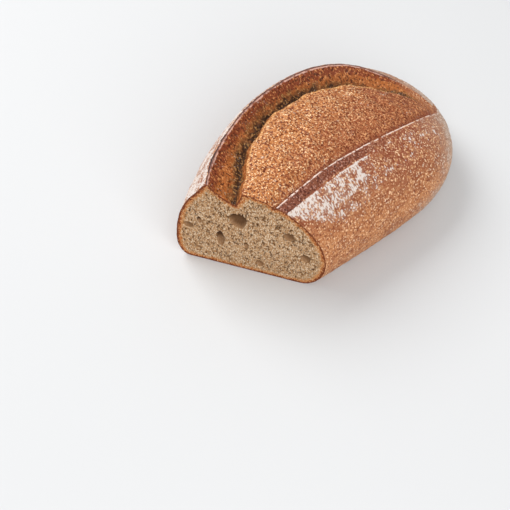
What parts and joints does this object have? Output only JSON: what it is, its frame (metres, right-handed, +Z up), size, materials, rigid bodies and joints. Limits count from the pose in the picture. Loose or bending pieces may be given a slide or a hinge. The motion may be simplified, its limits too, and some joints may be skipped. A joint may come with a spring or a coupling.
{
  "type": "heritage wheat loaf",
  "caption": "Oval crusty wheat loaf cut on the bias at one end, with a long open score, raised ear, rough bloom, floured crust and holed crumb.",
  "frame": {"origin": "bottom centre of the bounding box, on the surface the loaf rests on", "axes": "+X along the loaf from the cut to the round end, +Y to the side with the raised ear, +Z up"},
  "size_m": [0.2104, 0.137, 0.0864],
  "materials": {
    "crust": "dry baked crust, dull, with a rough torn bloom, white flour dust and a pale open crumb at the cut"
  },
  "bodies": {
    "root": {"loaf": "crust"}
  },
  "joints": []
}
